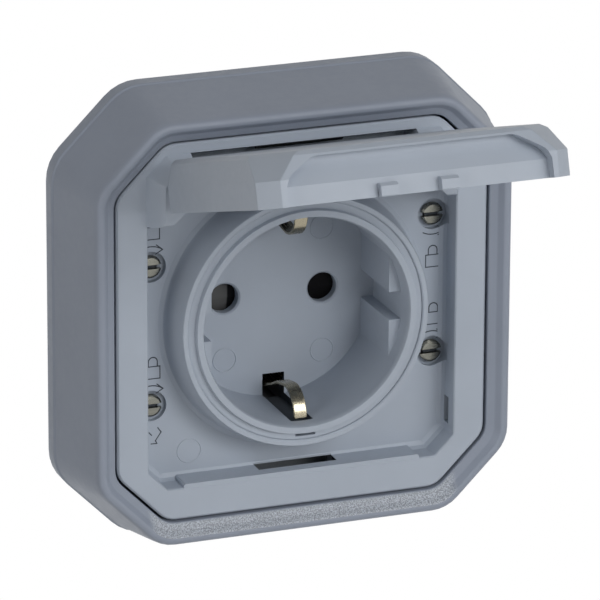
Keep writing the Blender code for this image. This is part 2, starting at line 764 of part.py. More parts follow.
def place_on_hinge(lid_parts):
    """Carry the lid and its gasket on an empty that lies on the hinge axis, swung open."""
    axis = bpy.data.objects.new("lid_axis", None)
    bpy.context.collection.objects.link(axis)
    axis.location = (0.0, HINGE_Y * MM, HINGE_Z * MM)
    axis.rotation_euler = (-radians(OPEN_ANGLE), 0.0, 0.0)
    for part in lid_parts:
        part.parent = axis


def build_hinge_pins(steel):
    for name, side in (("hinge_pin_left", -1), ("hinge_pin_right", 1)):
        near = side * (TONGUE_HALF - PIN_IN_LID)
        far = side * (TONGUE_HALF + RUN_GAP + PIN_IN_BLOCK)
        finish(rod_x(name, PIN_RADIUS, min(near, far), max(near, far), HINGE_Y, HINGE_Z, 24), steel)


def build_detent_leaf(steel):
    """A bowed steel leaf in the notch above the hinge barrel, which holds the lid where it is put."""
    seat = RECESS_TOP + NOTCH_RISE - GAP
    reach = BARREL_RADIUS + GAP
    mid = FRONT + 2.6
    low = HINGE_Z + sqrt(reach ** 2 - (mid - HINGE_Y) ** 2) + 0.15
    start = FRONT + 0.8
    end = RECESS_FLOOR - 0.6
    top = []
    for i in range(13):
        t = i / 12
        y = start + (end - start) * t
        z = seat - (seat - LEAF_THICK - low) * 0.5 * (1.0 - cos(2 * pi * t))
        top.append((y, z))
    profile = top + [(y, z - LEAF_THICK) for y, z in reversed(top)]
    return finish(prism_x("detent_leaf", profile, -LEAF_HALF, LEAF_HALF), steel)


def earth_path():
    """The spring side of the earth strap, as (y, distance from the middle)."""
    tip = CUP_FRONT + EARTH_CHANNEL_SETBACK + 0.8
    path = [
        (BASE_DEPTH - 3.0, WELL_RADIUS - 1.9),
        (WELL_FLOOR + 0.4, WELL_RADIUS - 2.0),
        (WELL_FLOOR - 2.5, WELL_RADIUS - 3.1),
        (WELL_FLOOR - 5.0, EARTH_CHANNEL_IN),
    ]
    for i in range(8):
        a = radians(-12.0 + 102.0 * i / 7)
        path.append((tip + EARTH_BEND * (1.0 - sin(a)), EARTH_TIP - EARTH_BEND * cos(a)))
    return path


def guide_flat(side, up):
    """One of the four flats that guide the plug, between the groove and the round wall."""
    low = GUIDE_GROOVE / 2
    reach = WELL_RADIUS + 0.8
    start = atan2(low, sqrt(reach ** 2 - low ** 2))
    end = atan2(sqrt(reach ** 2 - GUIDE_X ** 2), GUIDE_X)
    outline = [(side * GUIDE_X, up * low)]
    for i in range(9):
        a = start + (end - start) * i / 8
        outline.append((side * reach * cos(a), up * reach * sin(a)))
    return prism("guide", outline, CUP_FRONT + GUIDE_SETBACK, WELL_FLOOR + 0.6)


def build_cup(plastic):
    """The round well with its rim, guide flats, pin holes, earth channels and rear rails."""
    shoulder_back = PLATE_FRONT - GAP
    profile = [
        (WELL_RADIUS, WELL_FLOOR),
        (WELL_RADIUS, CUP_FRONT + 0.9),
        (WELL_RADIUS + 0.25, CUP_FRONT + 0.25),
        (WELL_RADIUS + 0.55, CUP_FRONT),
        (CUP_RIM_RADIUS - 0.4, CUP_FRONT),
        (CUP_RIM_RADIUS, CUP_FRONT + 0.4),
        (CUP_RIM_RADIUS, CUP_FRONT + RIM_GROOVE - 0.05),
        (CUP_RADIUS, CUP_FRONT + RIM_GROOVE),
        (CUP_RADIUS, shoulder_back - SHOULDER_THICK),
        (SHOULDER_RADIUS, shoulder_back - SHOULDER_THICK),
        (SHOULDER_RADIUS, shoulder_back),
        (CUP_RADIUS, shoulder_back),
        (CUP_RADIUS, CUP_BACK),
    ]
    cup = turned("socket_cup", profile, steps=72)
    added = [guide_flat(side, up) for side in (-1, 1) for up in (-1, 1)]
    rail_x = SHUTTER_HALF + GAP
    rail_top = SHUTTER_HEIGHT / 2 + SHUTTER_TRAVEL + 1.0
    back = CUP_BACK + SHUTTER_THICK + 2 * GAP
    for side in (-1, 1):
        near = side * rail_x
        far = side * (rail_x + RAIL_WIDTH)
        added.append(block("rail", min(near, far), max(near, far), CUP_BACK - 0.5, back,
                           -SHUTTER_HEIGHT / 2 - 1.0, rail_top))
    added.append(block("spring_stop", -2.0, 2.0, CUP_BACK - 0.5, back, SPRING_STOP_Z,
                       SPRING_STOP_Z + SPRING_STOP_THICK))
    added.append(block("shutter_stop", -6.0, 6.0, CUP_BACK - 0.5, back, -SHUTTER_HEIGHT / 2 - GAP - 1.2,
                       -SHUTTER_HEIGHT / 2 - GAP))
    join(cup, *added)

    tools = []
    for side in (-1, 1):
        hole = [
            (PIN_HOLE / 2 + 0.45, WELL_FLOOR - 0.5),
            (PIN_HOLE / 2 + 0.35, WELL_FLOOR),
            (PIN_HOLE / 2, WELL_FLOOR + 0.35),
            (PIN_HOLE / 2, CUP_BACK + 0.5),
        ]
        tools.append(turned("pin_hole", hole, (side * PIN_PITCH / 2, 0.0), 28))
        wide = EARTH_WIDTH / 2 + GAP
        mouth = CUP_FRONT + EARTH_CHANNEL_SETBACK
        low, high = sorted((side * EARTH_CHANNEL_IN, side * EARTH_CHANNEL_OUT))
        tools.append(block("earth_channel", -wide, wide, mouth, CUP_BACK + 1.0, low, high))
        tools.append(rod("screw_hole", LONG_SCREW_RADIUS + GAP, CUP_BACK - 1.7, CUP_BACK + 1.0,
                         (side * LONG_SCREW_X, 0.0), 16))
    tools.append(block("clip_slot", -CLIP_SLOT_HALF, CLIP_SLOT_HALF, CUP_FRONT + RIM_GROOVE - 0.5,
                       CUP_FRONT + CLIP_SLOT_DEPTH, -CLIP_SLOT_OUT, -CLIP_SLOT_IN))
    cut(cup, *tools)
    return finish(cup, plastic, 28.0)


def build_base(plastic):
    """The tub behind the cup: flange, round wall, two partitions and two screw bosses."""
    flange_front = PLATE_BACK + GAP
    inner = CUP_RADIUS + GAP
    outer = inner + BASE_WALL
    profile = [
        (inner, flange_front),
        (SHOULDER_RADIUS + 1.0, flange_front),
        (SHOULDER_RADIUS + 1.0, flange_front + 1.5),
        (outer, flange_front + 1.5),
        (outer, BASE_DEPTH),
        (inner, BASE_DEPTH),
    ]
    base = turned("mechanism_base", profile, steps=48, closed=True)
    front = CUP_BACK + SHUTTER_THICK + 3 * GAP
    long = sqrt(inner ** 2 - PARTITION_X ** 2) + 0.8
    added = []
    for side in (-1, 1):
        x = side * PARTITION_X
        half = PARTITION_THICK / 2
        centre = (side * LONG_SCREW_X, 0.0)
        added.append(block("partition", x - half, x + half, front, BASE_DEPTH - 0.01, -long, long))
        added.append(rod("boss", LONG_BOSS_RADIUS, CUP_BACK + GAP, BASE_DEPTH, centre, 20))
        low, high = sorted((side * (LONG_SCREW_X + 1.0), side * (inner + 0.6)))
        added.append(block("web", low, high, CUP_BACK + GAP, BASE_DEPTH - 0.02, -1.4, 1.4))
    join(base, *added)
    bores = []
    for side in (-1, 1):
        bores.append(rod("bore", LONG_SCREW_RADIUS + GAP, CUP_BACK - 1.0, BASE_DEPTH + 1.0,
                         (side * LONG_SCREW_X, 0.0), 16))
    cut(base, *bores)
    return finish(base, plastic)


def terminal_places():
    """Contact name, terminal centre (x, z)."""
    x = PIN_PITCH / 2
    return {"line": (-x - 1.0, TERMINAL_Z), "neutral": (x + 1.0, TERMINAL_Z), "earth": (0.0, -TERMINAL_Z + 2.0)}


def build_cover(plastic):
    """The rear cover with screw access holes and wire holes."""
    front = BASE_DEPTH + GAP
    back = front + COVER_THICK
    radius = CUP_RADIUS + GAP + BASE_WALL
    profile = [(radius, front), (radius, back - 0.5), (radius - 0.5, back)]
    cover = turned("rear_cover", profile, steps=48)
    tools = []
    for x, z in terminal_places().values():
        tools.append(rod("access", TERMINAL_HEAD_RADIUS + RUN_GAP, front - 1.0, back + 1.0, (x, z), 16))
        sign = 1 if z > 0 else -1
        wire_z = z + sign * (TERMINAL_HEAD_RADIUS + WIRE_HOLE_RADIUS + 1.6)
        tools.append(rod("wire", WIRE_HOLE_RADIUS + 0.4, front - 1.0, back + 1.0, (x, wire_z), 12))
    for side in (-1, 1):
        tools.append(rod("screw", LONG_SCREW_RADIUS + GAP, front - 1.0, back + 1.0, (side * LONG_SCREW_X, 0.0), 12))
    cut(cover, *tools)
    return finish(cover, plastic)


def slotted_head(name, radius, thick, centre, seat, sign, cross=False):
    """A domed head whose seat faces along sign, with a driver slot in its top."""
    top = seat - sign * thick
    profile = [
        (radius, seat),
        (radius, top + sign * 0.35 * thick),
        (radius * 0.82, top + sign * 0.06 * thick),
        (radius * 0.55, top),
    ]
    head = turned(name, profile, centre, 24)
    x, z = centre
    low, high = sorted((top - sign * 1.0, top + sign * SLOT_DEPTH))
    half = SLOT_WIDTH / 2
    tools = [block("slot", x - radius - 1.0, x + radius + 1.0, low, high, z - half, z + half)]
    if cross:
        tools.append(block("slot", x - half, x + half, low, high, z - radius - 1.0, z + radius + 1.0))
    return cut(head, *tools)


def build_lock_screws(zinc, steel):
    """Quarter-turn screws: slotted head, shaft and a wing that locks behind the support frame."""
    seat = RECESS_FLOOR + LOCK_SEAT_DEPTH - GAP
    wing_front = PLATE_BACK + GAP
    wing_back = wing_front + LOCK_WING_THICK
    washer_front = FLOOR_BACK + LOCK_BOSS_LENGTH + GAP
    for name, (x, z) in LOCK_PLACES.items():
        screw = slotted_head(name, LOCK_HEAD_RADIUS, LOCK_HEAD_THICK, (x, z), seat, 1)
        shaft = rod("shaft", LOCK_SHAFT_RADIUS, seat - 0.2, wing_back, (x, z), 16)
        long = LOCK_WING_LENGTH / 2
        wide = LOCK_WING_WIDTH / 2
        corners = [(x - long, z - wide), (x + long, z - wide), (x + long, z + wide), (x - long, z + wide)]
        wing = prism("wing", rounded(corners, 0.9, 3), wing_front, wing_back - 0.01)
        join(screw, shaft, wing)
        set_origin(screw, x, seat, z)
        finish(screw, zinc)
        ring = [
            (LOCK_SHAFT_RADIUS + GAP, washer_front),
            (LOCK_SHAFT_RADIUS + GAP + 1.4, washer_front),
            (LOCK_SHAFT_RADIUS + GAP + 1.4, washer_front + LOCK_WASHER_THICK),
            (LOCK_SHAFT_RADIUS + GAP, washer_front + LOCK_WASHER_THICK),
        ]
        washer = turned(name.replace("screw", "washer"), ring, (x, z), 16, closed=True)
        set_origin(washer, x, seat, z)
        finish(washer, steel)


def build_fixing_screws(steel):
    """Two screws that hold the support frame to the wall box."""
    seat = PLATE_FRONT - GAP
    for name, side in (("fixing_screw_left", -1), ("fixing_screw_right", 1)):
        centre = (side * FIX_PITCH / 2, 0.0)
        screw = slotted_head(name, FIX_HEAD_RADIUS, FIX_HEAD_THICK, centre, seat, 1, cross=True)
        profile = [(FIX_RADIUS, seat - 0.4), (FIX_RADIUS, seat + FIX_LENGTH - 1.5), (0.4, seat + FIX_LENGTH)]
        join(screw, turned("shank", profile, centre, 20))
        finish(screw, steel)


def build_contact(name, side, brass):
    """A slit tube that grips the pin, a strip behind it and a terminal block."""
    x = side * PIN_PITCH / 2
    terminal_x, terminal_z = terminal_places()[name.split("_")[0]]
    front = CUP_BACK + SHUTTER_THICK + 4 * GAP
    back = BASE_DEPTH - TERMINAL_ROOM
    tube = [
        (CONTACT_INNER + 0.25, front),
        (CONTACT_OUTER, front),
        (CONTACT_OUTER, back),
        (CONTACT_INNER, back),
        (CONTACT_INNER, front + 1.0),
    ]
    contact = turned(name, tube, (x, 0.0), 20, closed=True)
    cut(contact, block("slit", x - 0.35, x + 0.35, front - 1.0, back - 2.4, -5.0, 5.0),
        block("slit", x - 5.0, x + 5.0, front - 1.0, back - 2.4, -0.35, 0.35))
    half = TERMINAL_SIZE / 2
    strip = block("strip", x - 2.4, x + 2.4, back - 0.8, back, -2.6, terminal_z - half + 0.5)
    body = block("terminal", terminal_x - half, terminal_x + half, back - 4.0, back + 2.0,
                 terminal_z - half, terminal_z + half)
    join(contact, strip, body)
    cut(contact, rod("wire", WIRE_HOLE_RADIUS, back - 3.0, back + 3.0, (terminal_x, terminal_z + 1.4), 20),
        rod("thread", TERMINAL_SCREW_RADIUS + GAP, back - 3.4, back + 3.0, (terminal_x, terminal_z - 1.3), 16))
    finish(contact, brass)
    return back


def build_earth_strap(steel):
    """One strip bent into a U: two sprung sides in the well and a bridge behind the base's middle."""
    path = earth_path()
    bridge, arm = path[0]
    points = [(y, -r) for y, r in reversed(path)] + [(bridge + 0.8, -arm + 0.8)]
    points += [(bridge + 0.8, arm - 0.8)] + path
    half = STRAP_THICK / 2
    left = []
    right = []
    for i, (y, z) in enumerate(points):
        ya, za = points[max(i - 1, 0)]
        yb, zb = points[min(i + 1, len(points) - 1)]
        size = sqrt((yb - ya) ** 2 + (zb - za) ** 2)
        ny, nz = -(zb - za) / size, (yb - ya) / size
        left.append((y + ny * half, z + nz * half))
        right.append((y - ny * half, z - nz * half))
    strap = prism_x("earth_strap", left + right[::-1], -EARTH_WIDTH / 2, EARTH_WIDTH / 2)
    x, z = terminal_places()["earth"]
    body = block("terminal", x - 2.4, x + 2.4, bridge - 2.6, bridge + 1.0, z - 3.0, z + 3.0)
    join(strap, body)
    cut(strap, rod("thread", TERMINAL_SCREW_RADIUS + GAP, bridge - 2.0, bridge + 2.0, (x, z), 16))
    return finish(strap, steel, 40.0)


def build_terminal_screw(name, centre, seat, length, steel):
    """A small screw whose head faces the rear cover."""
    screw = slotted_head(name, TERMINAL_HEAD_RADIUS, 1.4, centre, seat, -1)
    join(screw, rod("shank", TERMINAL_SCREW_RADIUS, seat + 0.3, seat - length, centre, 16))
    return finish(screw, steel)


def build_long_screws(steel):
    """Two screws that hold cover, base and cup together."""
    seat = BASE_DEPTH + GAP + COVER_THICK + GAP
    for name, side in (("body_screw_left", -1), ("body_screw_right", 1)):
        centre = (side * LONG_SCREW_X, 0.0)
        screw = slotted_head(name, 2.0, 1.4, centre, seat, -1, cross=True)
        join(screw, rod("shank", LONG_SCREW_RADIUS, seat + 0.3, CUP_BACK - 1.4, centre, 16))
        finish(screw, steel)


def build_shutter(plastic):
    """The plate behind the pin holes; it slides up when both pins push its ramps."""
    front = CUP_BACK + GAP
    back = front + SHUTTER_THICK
    half = SHUTTER_HEIGHT / 2
    plate = block("shutter", -SHUTTER_HALF, SHUTTER_HALF, front, back, -half, half)
    ramps = []
    for side in (-1, 1):
        x = side * PIN_PITCH / 2
        profile = [(front - 0.5, -half - 0.5), (front + 0.9, -half - 0.5), (front - 0.5, half * 0.4)]
        ramps.append(prism_x("ramp", profile, x - PIN_HOLE / 2, x + PIN_HOLE / 2))
    cut(plate, *ramps)
    peg = block("peg", -0.35, 0.35, front + 0.4, front + 1.0, half - 0.2, half + 0.8)
    join(plate, peg)
    return finish(plate, plastic)


def build_spring(steel):
    """The coil that pushes the shutter down, from the shutter's edge to the stop on the cup."""
    low = SHUTTER_HEIGHT / 2 + GAP + 0.2
    high = SPRING_STOP_Z - GAP
    y = CUP_BACK + GAP + SHUTTER_THICK / 2
    sides = 5
    per_turn = 10
    total = SPRING_TURNS * per_turn
    rings = []
    for i in range(total + 1):
        a = 2 * pi * i / per_turn
        z = low + SPRING_WIRE + (high - low - 2 * SPRING_WIRE) * i / total
        ring = []
        for k in range(sides):
            b = 2 * pi * k / sides
            radius = SPRING_RADIUS + SPRING_WIRE * cos(b)
            ring.append((radius * cos(a), y + radius * sin(a), z + SPRING_WIRE * sin(b)))
        rings.append(ring)
    return finish(loft("shutter_spring", rings), steel, 60.0)


def build():
    clear_scene()
    frame_plastic = material("frame_plastic", (0.16, 0.18, 0.22), 0.5)
    panel_plastic = material("panel_plastic", (0.36, 0.39, 0.44), 0.42)
    inner_plastic = material("inner_plastic", (0.34, 0.36, 0.38), 0.55)
    rubber = material("rubber", (0.03, 0.03, 0.035), 0.8)
    steel = material("steel", (0.62, 0.61, 0.58), 0.3, 1.0)
    zinc = material("zinc", (0.66, 0.63, 0.52), 0.28, 1.0)
    brass = material("brass", (0.75, 0.58, 0.28), 0.3, 1.0)

    build_frame(frame_plastic)
    build_wall_seal(rubber)
    build_support(inner_plastic)
    build_panel_seal(rubber)
    build_panel(panel_plastic)
    lid = build_lid(panel_plastic)
    gasket = build_lid_gasket(rubber)
    place_on_hinge((lid, gasket))
    build_hinge_pins(steel)
    build_detent_leaf(steel)
    build_cup(panel_plastic)
    build_base(inner_plastic)
    build_cover(inner_plastic)
    build_lock_screws(zinc, steel)
    build_fixing_screws(steel)
    build_contact("line_contact", -1, brass)
    contact_back = build_contact("neutral_contact", 1, brass)
    build_earth_strap(steel)
    places = terminal_places()
    for name in ("line", "neutral"):
        x, z = places[name]
        build_terminal_screw(name + "_terminal_screw", (x, z - 1.3), contact_back + 2.0 + GAP, 4.5, steel)
    build_terminal_screw("earth_terminal_screw", places["earth"], earth_path()[0][0] + 1.0 + GAP, 2.4, steel)
    build_long_screws(steel)
    build_shutter(inner_plastic)
    build_spring(steel)


build()
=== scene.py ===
# Weatherproof wall socket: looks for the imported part
import json
from math import sin, cos, pi, radians, atan2, sqrt

import bpy
from mathutils import Matrix, Vector

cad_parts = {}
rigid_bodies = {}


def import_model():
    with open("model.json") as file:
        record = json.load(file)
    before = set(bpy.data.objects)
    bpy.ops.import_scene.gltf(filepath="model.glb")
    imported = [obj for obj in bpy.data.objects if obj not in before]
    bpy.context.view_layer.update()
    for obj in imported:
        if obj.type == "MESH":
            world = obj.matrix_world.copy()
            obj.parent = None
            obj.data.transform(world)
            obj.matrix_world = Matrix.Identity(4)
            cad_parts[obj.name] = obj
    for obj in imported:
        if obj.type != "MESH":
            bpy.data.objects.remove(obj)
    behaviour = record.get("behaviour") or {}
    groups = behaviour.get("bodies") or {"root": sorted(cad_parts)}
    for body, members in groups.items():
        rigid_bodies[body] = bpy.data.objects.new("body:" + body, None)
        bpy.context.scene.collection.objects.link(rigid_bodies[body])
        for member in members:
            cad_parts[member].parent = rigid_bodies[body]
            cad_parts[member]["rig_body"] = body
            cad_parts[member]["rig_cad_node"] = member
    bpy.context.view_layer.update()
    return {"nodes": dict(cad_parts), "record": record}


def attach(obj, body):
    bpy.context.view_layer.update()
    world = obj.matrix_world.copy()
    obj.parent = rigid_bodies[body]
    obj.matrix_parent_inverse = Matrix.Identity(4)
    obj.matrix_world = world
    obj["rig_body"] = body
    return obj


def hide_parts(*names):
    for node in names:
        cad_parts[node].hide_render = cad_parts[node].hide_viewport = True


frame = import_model()
nodes = frame["nodes"]
print("frame loaded,", len(nodes), "nodes")

mm = 0.001
scene = bpy.context.scene
scene.view_settings.view_transform = "Standard"


# small helpers

def deselectAll():
    if bpy.context.object and bpy.context.object.mode != "OBJECT":
        bpy.ops.object.mode_set(mode="OBJECT")
    bpy.ops.object.select_all(action="DESELECT")


def makeActive(piece):
    deselectAll()
    piece.select_set(True)
    bpy.context.view_layer.objects.active = piece


def joinPieces(pieces, name):
    deselectAll()
    for piece in pieces:
        piece.select_set(True)
    bpy.context.view_layer.objects.active = pieces[0]
    if len(pieces) > 1:
        bpy.ops.object.join()
    joined = bpy.context.view_layer.objects.active
    joined.name = name
    joined.data.name = name
    return joined


def settle(piece):
    makeActive(piece)
    bpy.ops.object.transform_apply(location=True, rotation=True, scale=True)
    return piece


def setMaterial(piece, material):
    piece.data.materials.clear()
    piece.data.materials.append(material)


# camera: the photograph's view, from the left and above
photoView = {
    "azimuth": 20.95, "elevation": 18.83, "roll": 0.29,
    "distance": 1021 * mm, "lens": 342.3, "sensor": 36.0, "near": 0.05, "far": 20.0,
    "aim": (-0.60 * mm, -17.5 * mm, 3.39 * mm),  # along the view's right, into the wall, along the view's up
}


def makeCamera():
    turn = radians(photoView["azimuth"])
    tip = radians(photoView["elevation"])
    roll = radians(photoView["roll"])
    ahead = Vector((sin(turn) * cos(tip), cos(turn) * cos(tip), -sin(tip)))
    level = Vector((cos(turn), -sin(turn), 0.0))
    above = level.cross(ahead)
    right = level * cos(roll) + above * sin(roll)
    up = above * cos(roll) - level * sin(roll)
    aimRight, aimDepth, aimUp = photoView["aim"]
    place = Vector((0.0, aimDepth, 0.0)) - ahead * photoView["distance"] + right * aimRight + up * aimUp
    bpy.ops.object.camera_add()
    camera = bpy.context.object
    camera.name = "photoCamera"
    camera.data.sensor_width = photoView["sensor"]
    camera.data.lens = photoView["lens"]
    camera.data.clip_start = photoView["near"]
    camera.data.clip_end = photoView["far"]
    camera.matrix_world = Matrix((
        (right.x, up.x, -ahead.x, place.x),
        (right.y, up.y, -ahead.y, place.y),
        (right.z, up.z, -ahead.z, place.z),
        (0.0, 0.0, 0.0, 1.0),
    ))
    scene.camera = camera


makeCamera()
print("camera set")


# materials
finishes = {
    "panel": {"colour": (0.388, 0.432, 0.497), "rough": 0.46, "mottle": 0.03, "grain": 0.010, "shine": 0.32},
    # the frame's grey, darker than the panel's, is partly its own tone and partly painted shade for its
    # flanks
    "frame": {"colour": (0.262, 0.292, 0.352), "rough": 0.48, "mottle": 0.04, "grain": 0.010, "shine": 0.32},
    "inner": {"colour": (0.28, 0.30, 0.32), "rough": 0.6, "mottle": 0.05, "grain": 0.02, "shine": 0.3},
    # the shutter's near-black is painted shade for the pin holes
    "shutter": {"colour": (0.006, 0.006, 0.007), "rough": 0.8, "grain": 0.015, "shine": 0.1,
                "tip": (0.10, 0.10, 0.10), "tipFrom": -8.0 * mm, "tipTo": -8.25 * mm},
    "nickel": {"colour": (0.21, 0.21, 0.185), "rough": 0.24, "streak": 0.10},
    "clip": {"colour": (0.36, 0.325, 0.24), "rough": 0.22, "streak": 0.10},
    "brass": {"colour": (0.75, 0.56, 0.26), "rough": 0.3, "streak": 0.08},
    "rubber": {"colour": (0.018, 0.018, 0.02), "rough": 0.75, "mottle": 0.1, "grain": 0.03, "shine": 0.3},
    # a dark grey painted where shade falls: inside slots, holes and engraved sign lines
    "groove": {"colour": (0.075, 0.085, 0.10), "rough": 0.7, "mottle": 0.08, "grain": 0.01, "shine": 0.1},
}
# sizes of the noise patterns, how far they reach, and how much they change the roughness
patterns = {
    "noiseRough": 0.55, "noiseLow": 0.3, "noiseHigh": 0.7,
    "cloud": 60.0, "frameCloud": 45.0, "gloss": 900.0, "frameGloss": 700.0,
    "grain": 5200.0, "shutterGrain": 4000.0, "smoother": 0.04, "rougher": 0.06,
}
# the pebbled band: where its mask starts and where it is full, and its two shades
# the band's colour, lighter than the frame's, is painted light where the lower slope faces up, and its
# lighter specks are painted glints
pebbleAndPaintedLight = {
    "colour": (0.43, 0.46, 0.51), "darker": -0.36, "lighter": 0.40, "size": 0.23 * mm, "depth": 0.06 * mm,
    "blend": 0.6, "speckFrom": 0.15, "speckTo": 0.65,
    "inward": (-0.22, -0.34), "front": (-17.55 * mm, -17.8 * mm), "upward": (0.16, 0.34),
    "straight": (29.8 * mm, 28.4 * mm),
}
# drawn streaks on the metals
drawn = {"stretch": 0.04, "size": 4200.0, "smoother": 0.06, "darker": -0.12, "height": 0.008 * mm}


def startMaterial(name, colour, rough, metallic=0.0):
    material = bpy.data.materials.new(name)
    material.use_nodes = True
    tree = material.node_tree
    shader = tree.nodes["Principled BSDF"]
    shader.inputs["Base Color"].default_value = (*colour, 1.0)
    shader.inputs["Roughness"].default_value = rough
    shader.inputs["Metallic"].default_value = metallic
    return material, tree, shader


def objectPosition(tree):
    return tree.nodes.new("ShaderNodeTexCoord").outputs["Object"]


def noiseOf(tree, position, scale, detail):
    noise = tree.nodes.new("ShaderNodeTexNoise")
    noise.inputs["Scale"].default_value = scale
    noise.inputs["Detail"].default_value = detail
    noise.inputs["Roughness"].default_value = patterns["noiseRough"]
    tree.links.new(position, noise.inputs["Vector"])
    return noise.outputs["Fac"]


def mapValue(tree, value, low, high, toLow, toHigh):
    ranger = tree.nodes.new("ShaderNodeMapRange")
    for socket, number in (("From Min", low), ("From Max", high), ("To Min", toLow), ("To Max", toHigh)):
        ranger.inputs[socket].default_value = number
    tree.links.new(value, ranger.inputs["Value"])
    return ranger.outputs["Result"]


# a noise's useful range stretched over two numbers
def spread(tree, noise, toLow, toHigh):
    return mapValue(tree, noise, patterns["noiseLow"], patterns["noiseHigh"], toLow, toHigh)


def mixColours(tree, factor, first, second):
    mixer = tree.nodes.new("ShaderNodeMix")
    mixer.data_type = "RGBA"
    tree.links.new(factor, mixer.inputs["Factor"])
    for socket, colour in (("A", first), ("B", second)):
        target = [s for s in mixer.inputs if s.name == socket and s.type == "RGBA"][0]
        if isinstance(colour, tuple):
            target.default_value = (*colour, 1.0)
        else:
            tree.links.new(colour, target)
    return [s for s in mixer.outputs if s.type == "RGBA"][0]


def multiplied(tree, first, second):
    product = tree.nodes.new("ShaderNodeMath")
    product.operation = "MULTIPLY"
    tree.links.new(first, product.inputs[0])
    tree.links.new(second, product.inputs[1])
    return product.outputs[0]


def shaded(colour, change):
    return tuple(channel * (1.0 + change) for channel in colour)


def bumpFrom(tree, height, distance):
    bump = tree.nodes.new("ShaderNodeBump")
    bump.inputs["Distance"].default_value = distance
    bump.inputs["Strength"].default_value = 1.0
    tree.links.new(height, bump.inputs["Height"])
    return bump.outputs["Normal"]


# a soft mottle between a slightly darker and a slightly lighter shade
def mottled(tree, position, finish, scale):
    cloud = noiseOf(tree, position, scale, 3.0)
    return mixColours(tree, spread(tree, cloud, 0.0, 1.0), shaded(finish["colour"], -finish["mottle"]),
                      shaded(finish["colour"], finish["mottle"]))


def unevenGloss(tree, position, finish, scale):
    gloss = noiseOf(tree, position, scale, 2.0)
    return spread(tree, gloss, finish["rough"] - patterns["smoother"], finish["rough"] + patterns["rougher"])


# satin moulded plastic: a soft mottle, uneven gloss and a very fine grain
def mouldedPlastic(name, finish):
    material, tree, shader = startMaterial(name, finish["colour"], finish["rough"])
    position = objectPosition(tree)
    tree.links.new(mottled(tree, position, finish, patterns["cloud"]), shader.inputs["Base Color"])
    tree.links.new(unevenGloss(tree, position, finish, patterns["gloss"]), shader.inputs["Roughness"])
    grain = noiseOf(tree, position, patterns["grain"], 2.0)
    tree.links.new(bumpFrom(tree, grain, finish["grain"] * mm), shader.inputs["Normal"])
    shader.inputs["Specular IOR Level"].default_value = finish["shine"]
    return material


# one on the straight lower inward slope at the frame's front where it faces up, and nothing elsewhere; there
# go the pebbled bump and the painted light
def pebbleAndPaintedLightMask(tree, position):
    geometry = tree.nodes.new("ShaderNodeNewGeometry")
    split = tree.nodes.new("ShaderNodeSeparateXYZ")
    tree.links.new(position, split.inputs[0])
    flat = tree.nodes.new("ShaderNodeCombineXYZ")
    tree.links.new(split.outputs["X"], flat.inputs["X"])
    tree.links.new(split.outputs["Z"], flat.inputs["Z"])
    unit = tree.nodes.new("ShaderNodeVectorMath")
    unit.operation = "NORMALIZE"
    tree.links.new(flat.outputs[0], unit.inputs[0])
    dot = tree.nodes.new("ShaderNodeVectorMath")
    dot.operation = "DOT_PRODUCT"
    tree.links.new(unit.outputs[0], dot.inputs[0])
    tree.links.new(geometry.outputs["Normal"], dot.inputs[1])
    facing = tree.nodes.new("ShaderNodeSeparateXYZ")
    tree.links.new(geometry.outputs["Normal"], facing.inputs[0])
    across = tree.nodes.new("ShaderNodeMath")
    across.operation = "ABSOLUTE"
    tree.links.new(split.outputs["X"], across.inputs[0])
    mask = mapValue(tree, dot.outputs["Value"], *pebbleAndPaintedLight["inward"], 0.0, 1.0)
    for value, limits in ((split.outputs["Y"], pebbleAndPaintedLight["front"]), (facing.outputs["Z"], pebbleAndPaintedLight["upward"]),
                          (across.outputs[0], pebbleAndPaintedLight["straight"])):
        mask = multiplied(tree, mask, mapValue(tree, value, *limits, 0.0, 1.0))
    return mask


# the outer frame's plastic: smooth, with the pebbled band, whose lighter colour is painted light and whose
# light specks are painted glints
def framePlasticShadeAndLight(finish):
    material, tree, shader = startMaterial("framePlasticShadeAndLight", finish["colour"], finish["rough"])
    position = objectPosition(tree)
    mask = pebbleAndPaintedLightMask(tree, position)
    cells = tree.nodes.new("ShaderNodeTexVoronoi")
    cells.feature = "SMOOTH_F1"
    cells.inputs["Scale"].default_value = 1.0 / pebbleAndPaintedLight["size"]
    cells.inputs["Smoothness"].default_value = pebbleAndPaintedLight["blend"]
    tree.links.new(position, cells.inputs["Vector"])
    speckle = mapValue(tree, cells.outputs["Distance"], pebbleAndPaintedLight["speckFrom"], pebbleAndPaintedLight["speckTo"], 1.0, 0.0)
    # the band's colour: a lighter grey as painted light, with light specks as painted glints and dark specks
    # as painted shade on the grain
    rough = mixColours(tree, speckle, shaded(pebbleAndPaintedLight["colour"], pebbleAndPaintedLight["darker"]),
                       shaded(pebbleAndPaintedLight["colour"], pebbleAndPaintedLight["lighter"]))
    smooth = mottled(tree, position, finish, patterns["frameCloud"])
    tree.links.new(mixColours(tree, mask, smooth, rough), shader.inputs["Base Color"])

    grain = noiseOf(tree, position, patterns["grain"], 2.0)
    height = tree.nodes.new("ShaderNodeMix")
    height.data_type = "FLOAT"
    tree.links.new(mask, height.inputs["Factor"])
    fine = mapValue(tree, grain, 0.0, 1.0, 0.0, finish["grain"] * mm / pebbleAndPaintedLight["depth"])
    tree.links.new(fine, height.inputs["A"])
    tree.links.new(speckle, height.inputs["B"])
    tree.links.new(bumpFrom(tree, height.outputs["Result"], pebbleAndPaintedLight["depth"]), shader.inputs["Normal"])
    tree.links.new(unevenGloss(tree, position, finish, patterns["frameGloss"]), shader.inputs["Roughness"])
    shader.inputs["Specular IOR Level"].default_value = finish["shine"]
    return material


